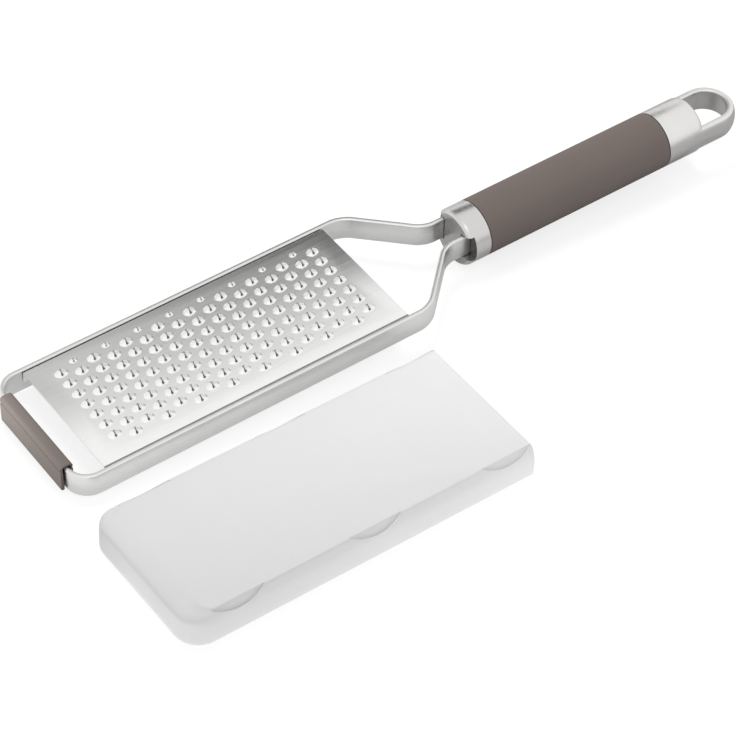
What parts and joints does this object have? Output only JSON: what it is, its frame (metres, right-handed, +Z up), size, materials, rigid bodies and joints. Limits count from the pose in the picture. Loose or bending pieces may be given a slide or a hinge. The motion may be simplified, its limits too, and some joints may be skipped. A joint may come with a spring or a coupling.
{
  "type": "fine grater",
  "caption": "Hand-held fine grater: toothed steel blade in a bent strip frame on a round handle with a hanging loop, and its push-on blade cover laid beside it.",
  "frame": {"origin": "bottom centre of the set as it lies on a table: the grater and its cover beside it", "axes": "+X from the front foot towards the hanging loop, +Y from the cover towards the grater, +Z up"},
  "size_m": [0.3236, 0.1354, 0.0272],
  "materials": {
    "satin_steel": "satin stainless steel strip",
    "blade_steel": "satin stainless steel sheet",
    "brushed_steel": "brushed stainless steel, turned",
    "grip_coating": "matte taupe soft-touch sleeve",
    "foot_silicone": "matte taupe silicone",
    "core_polymer": "dark moulded polymer, hidden",
    "frosted_plastic": "frosted milky polypropylene"
  },
  "bodies": {
    "grater": {"frame_strip": "satin_steel", "grating_blade": "blade_steel", "front_foot": "foot_silicone", "front_ferrule": "brushed_steel", "grip_sleeve": "grip_coating", "handle_core": "core_polymer", "tang_pin_front": "satin_steel", "tang_pin_rear": "satin_steel", "cap_stud": "satin_steel", "rear_cap": "brushed_steel"},
    "cover": {"blade_cover": "frosted_plastic"}
  },
  "joints": [
    {"name": "cover_lift", "type": "slide", "parent": "grater", "child": "cover", "axis": [0, 0, 1], "range_m": [0, 0.1]}
  ]
}
